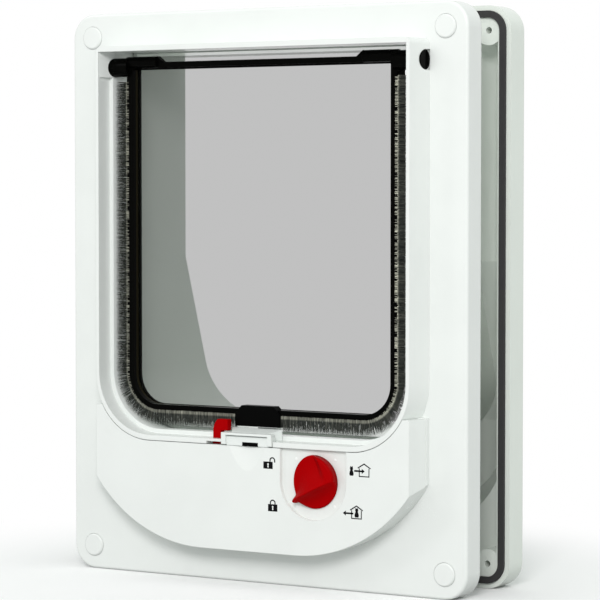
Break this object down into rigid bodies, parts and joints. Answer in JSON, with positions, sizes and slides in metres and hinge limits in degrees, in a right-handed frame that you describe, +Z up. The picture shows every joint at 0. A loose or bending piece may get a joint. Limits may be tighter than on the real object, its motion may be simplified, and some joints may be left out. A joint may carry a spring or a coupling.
{
  "type": "cat flap",
  "caption": "Door-mounted cat flap: two frames on a telescoping tunnel, a swinging clear flap with brush seal and magnet, and a control housing with a locking knob.",
  "frame": {"origin": "centre of the four-screw pattern on the inner frame's back face, where the door's surface lies", "axes": "+X to the right seen from the room, +Y outdoors through the door, +Z up"},
  "size_m": [0.197, 0.0926, 0.244],
  "materials": {
    "white_shell": "glossy white moulding",
    "white_cap": "satin white moulding",
    "smoked_clear": "smoked clear moulding",
    "brush_fibre": "grey brush pile",
    "black_plastic": "black moulding",
    "magnet": "dark ceramic magnet",
    "red_plastic": "glossy red moulding",
    "battery_case": "plain dark case",
    "board": "green board",
    "copper": "enamelled copper wire",
    "iron": "bare soft iron",
    "gasket_foam": "black closed-cell foam"
  },
  "bodies": {
    "frame": {"inner_frame": "white_shell", "hinge_clip_left": "white_shell", "hinge_clip_right": "white_shell", "screw_cap_1": "white_cap", "screw_cap_2": "white_cap", "screw_cap_3": "white_cap", "screw_cap_4": "white_cap", "catch_bracket": "white_cap", "magnet_housing": "white_cap", "sill_magnet": "magnet", "block_battery": "battery_case", "battery_snap": "black_plastic", "circuit_board": "board", "coil_bobbin": "white_cap", "coil_winding": "copper", "coil_core": "iron", "collar_sensor": "iron"},
    "flap": {"flap_panel": "smoked_clear", "pile_seal": "brush_fibre", "magnet_holder": "black_plastic", "flap_magnet": "magnet"},
    "outer_frame": {"outer_frame": "white_shell", "door_gasket": "gasket_foam"},
    "cover": {"control_cover": "white_shell"},
    "knob": {"lock_knob": "red_plastic", "knob_spindle": "red_plastic", "lock_cam": "white_cap"},
    "entry_latch": {"entry_latch": "red_plastic"},
    "exit_latch": {"exit_latch": "white_cap"},
    "armature": {"catch_armature": "iron"}
  },
  "joints": [
    {"name": "flap_swing", "type": "hinge", "parent": "frame", "child": "flap", "pos_m": [0, -0.0135, 0.0982], "axis": [1, 0, 0], "range_deg": [-80, 80]},
    {"name": "depth_slide", "type": "slide", "parent": "frame", "child": "outer_frame", "axis": [0, 1, 0], "range_m": [-0.006, 0.014]},
    {"name": "cover_pull", "type": "slide", "parent": "frame", "child": "cover", "axis": [0, -1, 0], "range_m": [0, 0.04]},
    {"name": "knob_turn", "type": "hinge", "parent": "cover", "child": "knob", "pos_m": [0.0324, -0.0222, -0.0758], "axis": [0, 1, 0], "range_deg": [0, 270]},
    {"name": "entry_lift", "type": "slide", "parent": "frame", "child": "entry_latch", "axis": [0, 0, 1], "range_m": [0, 0.004]},
    {"name": "exit_lift", "type": "slide", "parent": "frame", "child": "exit_latch", "axis": [0, 0, 1], "range_m": [0, 0.004]},
    {"name": "armature_pull", "type": "slide", "parent": "frame", "child": "armature", "axis": [0, 0, -1], "range_m": [0, 0.0013], "stiffness_N_per_m": 100, "springref_m": -0.001}
  ]
}
